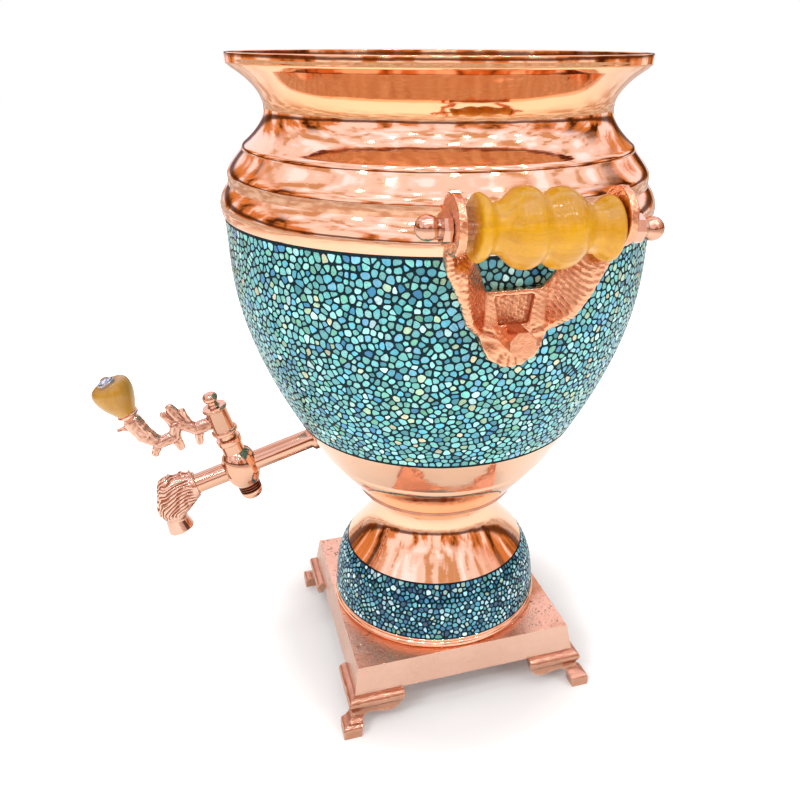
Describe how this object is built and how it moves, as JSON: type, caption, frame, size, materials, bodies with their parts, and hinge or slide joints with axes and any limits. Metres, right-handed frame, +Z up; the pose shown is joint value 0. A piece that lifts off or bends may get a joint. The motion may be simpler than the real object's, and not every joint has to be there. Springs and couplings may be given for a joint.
{
  "type": "samovar",
  "caption": "Charcoal samovar: a footed copper urn with a turquoise stone inlay, a flared gallery, a fire tube, wooden handle grips and a turning plug tap.",
  "frame": {"origin": "on the urn's axis, in the plane that the four feet stand on", "axes": "+Z up along the urn's axis; the tap points along -Y; the handles are on +X and -X"},
  "size_m": [0.3683, 0.3627, 0.435],
  "materials": {
    "polished_copper": null,
    "cast_copper": null,
    "satin_copper": null,
    "dull_copper": null,
    "turquoise_inlay": "turquoise stones in near-black grout, ground flush and lacquered",
    "varnished_wood": "yellow wood under glossy varnish",
    "steel": "plain",
    "iron": "as cast",
    "rubber": "matte",
    "clear_jewel": "clear faceted glass with a silvery back"
  },
  "bodies": {
    "urn": {"base_plinth": "satin_copper", "foot_front_right": "cast_copper", "foot_front_left": "cast_copper", "foot_rear_right": "cast_copper", "foot_rear_left": "cast_copper", "foot_screws": "steel", "pedestal_bead_ring": "polished_copper", "pedestal_shell": "polished_copper", "pedestal_inlay": "turquoise_inlay", "pedestal_screws": "steel", "waist_collar": "polished_copper", "vessel_floor": "dull_copper", "fire_tube": "dull_copper", "fire_grate": "iron", "body_shell": "polished_copper", "body_inlay": "turquoise_inlay", "shoulder": "polished_copper", "gallery": "polished_copper", "lid_seat_ring": "dull_copper", "tap_collar": "polished_copper", "tap_pipe": "polished_copper", "tap_gasket": "rubber", "tap_lock_nut": "dull_copper", "tap_barrel": "polished_copper", "tap_outlet_pipe": "polished_copper", "tap_spout": "cast_copper", "tap_cap_nut": "polished_copper", "handle_bracket_right": "cast_copper", "handle_bolt_right": "cast_copper", "handle_gasket_right": "rubber", "handle_nut_right": "dull_copper", "handle_rod_right": "polished_copper", "handle_ball_nut_right": "polished_copper", "handle_bracket_left": "cast_copper", "handle_bolt_left": "cast_copper", "handle_gasket_left": "rubber", "handle_nut_left": "dull_copper", "handle_rod_left": "polished_copper", "handle_ball_nut_left": "polished_copper"},
    "lid": {"lid": "polished_copper", "lid_knob_right": "varnished_wood", "lid_knob_left": "varnished_wood", "lid_knob_screws": "steel"},
    "flue_cap": {"flue_cap": "polished_copper", "flue_cap_knob": "varnished_wood"},
    "tap_key": {"tap_plug": "polished_copper", "tap_plug_washer": "steel", "tap_plug_nut": "steel", "tap_key_sleeve": "polished_copper", "tap_key_finial": "polished_copper", "tap_lever": "cast_copper", "tap_ferrule": "cast_copper", "tap_knob": "varnished_wood", "tap_knob_bezel": "steel", "tap_knob_jewel": "clear_jewel"},
    "grip_right": {"handle_grip_right": "varnished_wood"},
    "grip_left": {"handle_grip_left": "varnished_wood"}
  },
  "joints": [
    {"name": "tap_key_turn", "type": "hinge", "parent": "urn", "child": "tap_key", "pos_m": [0, -0.139, 0.17], "axis": [0, -0.284, 0.9588], "range_deg": [-90, 90]},
    {"name": "lid_lift", "type": "slide", "parent": "urn", "child": "lid", "axis": [0, 0, 1], "range_m": [0, 0.12]},
    {"name": "flue_cap_lift", "type": "slide", "parent": "lid", "child": "flue_cap", "axis": [0, 0, 1], "range_m": [0, 0.1]},
    {"name": "grip_right_spin", "type": "hinge", "parent": "urn", "child": "grip_right", "pos_m": [0.16499, -0.00048, 0.3617], "axis": [0.0174, 0.9981, -0.0593], "continuous": true},
    {"name": "grip_left_spin", "type": "hinge", "parent": "urn", "child": "grip_left", "pos_m": [-0.16497, 0, 0.3654], "axis": [0, 1, 0], "continuous": true}
  ]
}
